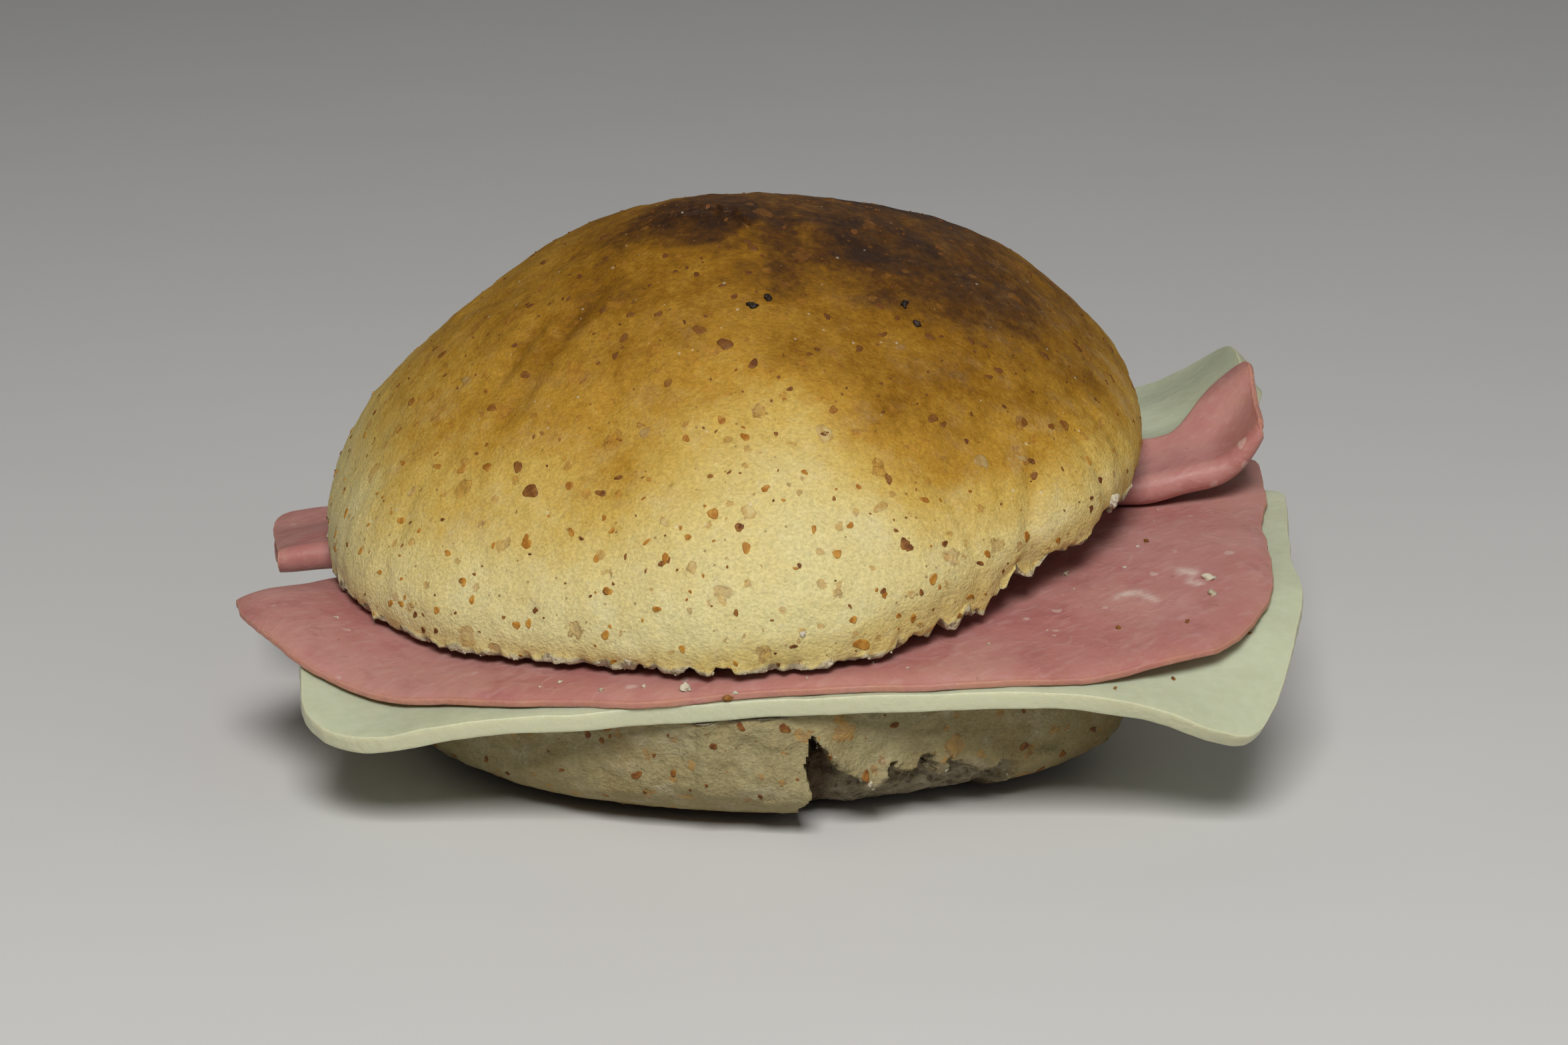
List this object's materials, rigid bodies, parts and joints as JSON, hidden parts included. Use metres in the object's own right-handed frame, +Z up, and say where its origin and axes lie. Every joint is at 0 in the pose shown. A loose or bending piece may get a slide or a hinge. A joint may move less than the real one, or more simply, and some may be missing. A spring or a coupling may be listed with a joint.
{
  "type": "filled bread roll",
  "caption": "Round bran bread roll, cut in two, with ham and cheese slices that stick out all round; crown leans back to the left.",
  "frame": {"origin": "centre of the whole roll's box at the height of the surface it stands on", "axes": "+X along the filling's length to the right, -Y towards the open front, +Z up"},
  "size_m": [0.1302, 0.106, 0.0664],
  "materials": {
    "crown_crust": "baked golden-brown crust with bran flakes, dry, slightly waxy",
    "heel_crust": "pale floury crust with torn crumb at the front",
    "cheese": "pale smooth cheese slice, soft satin sheen",
    "ham": "pale pink cooked ham, moist sheen"
  },
  "bodies": {
    "root": {"heel": "heel_crust", "cheese_lower": "cheese", "ham_lower": "ham", "cheese_upper": "cheese", "ham_upper": "ham", "crown": "crown_crust"}
  },
  "joints": []
}
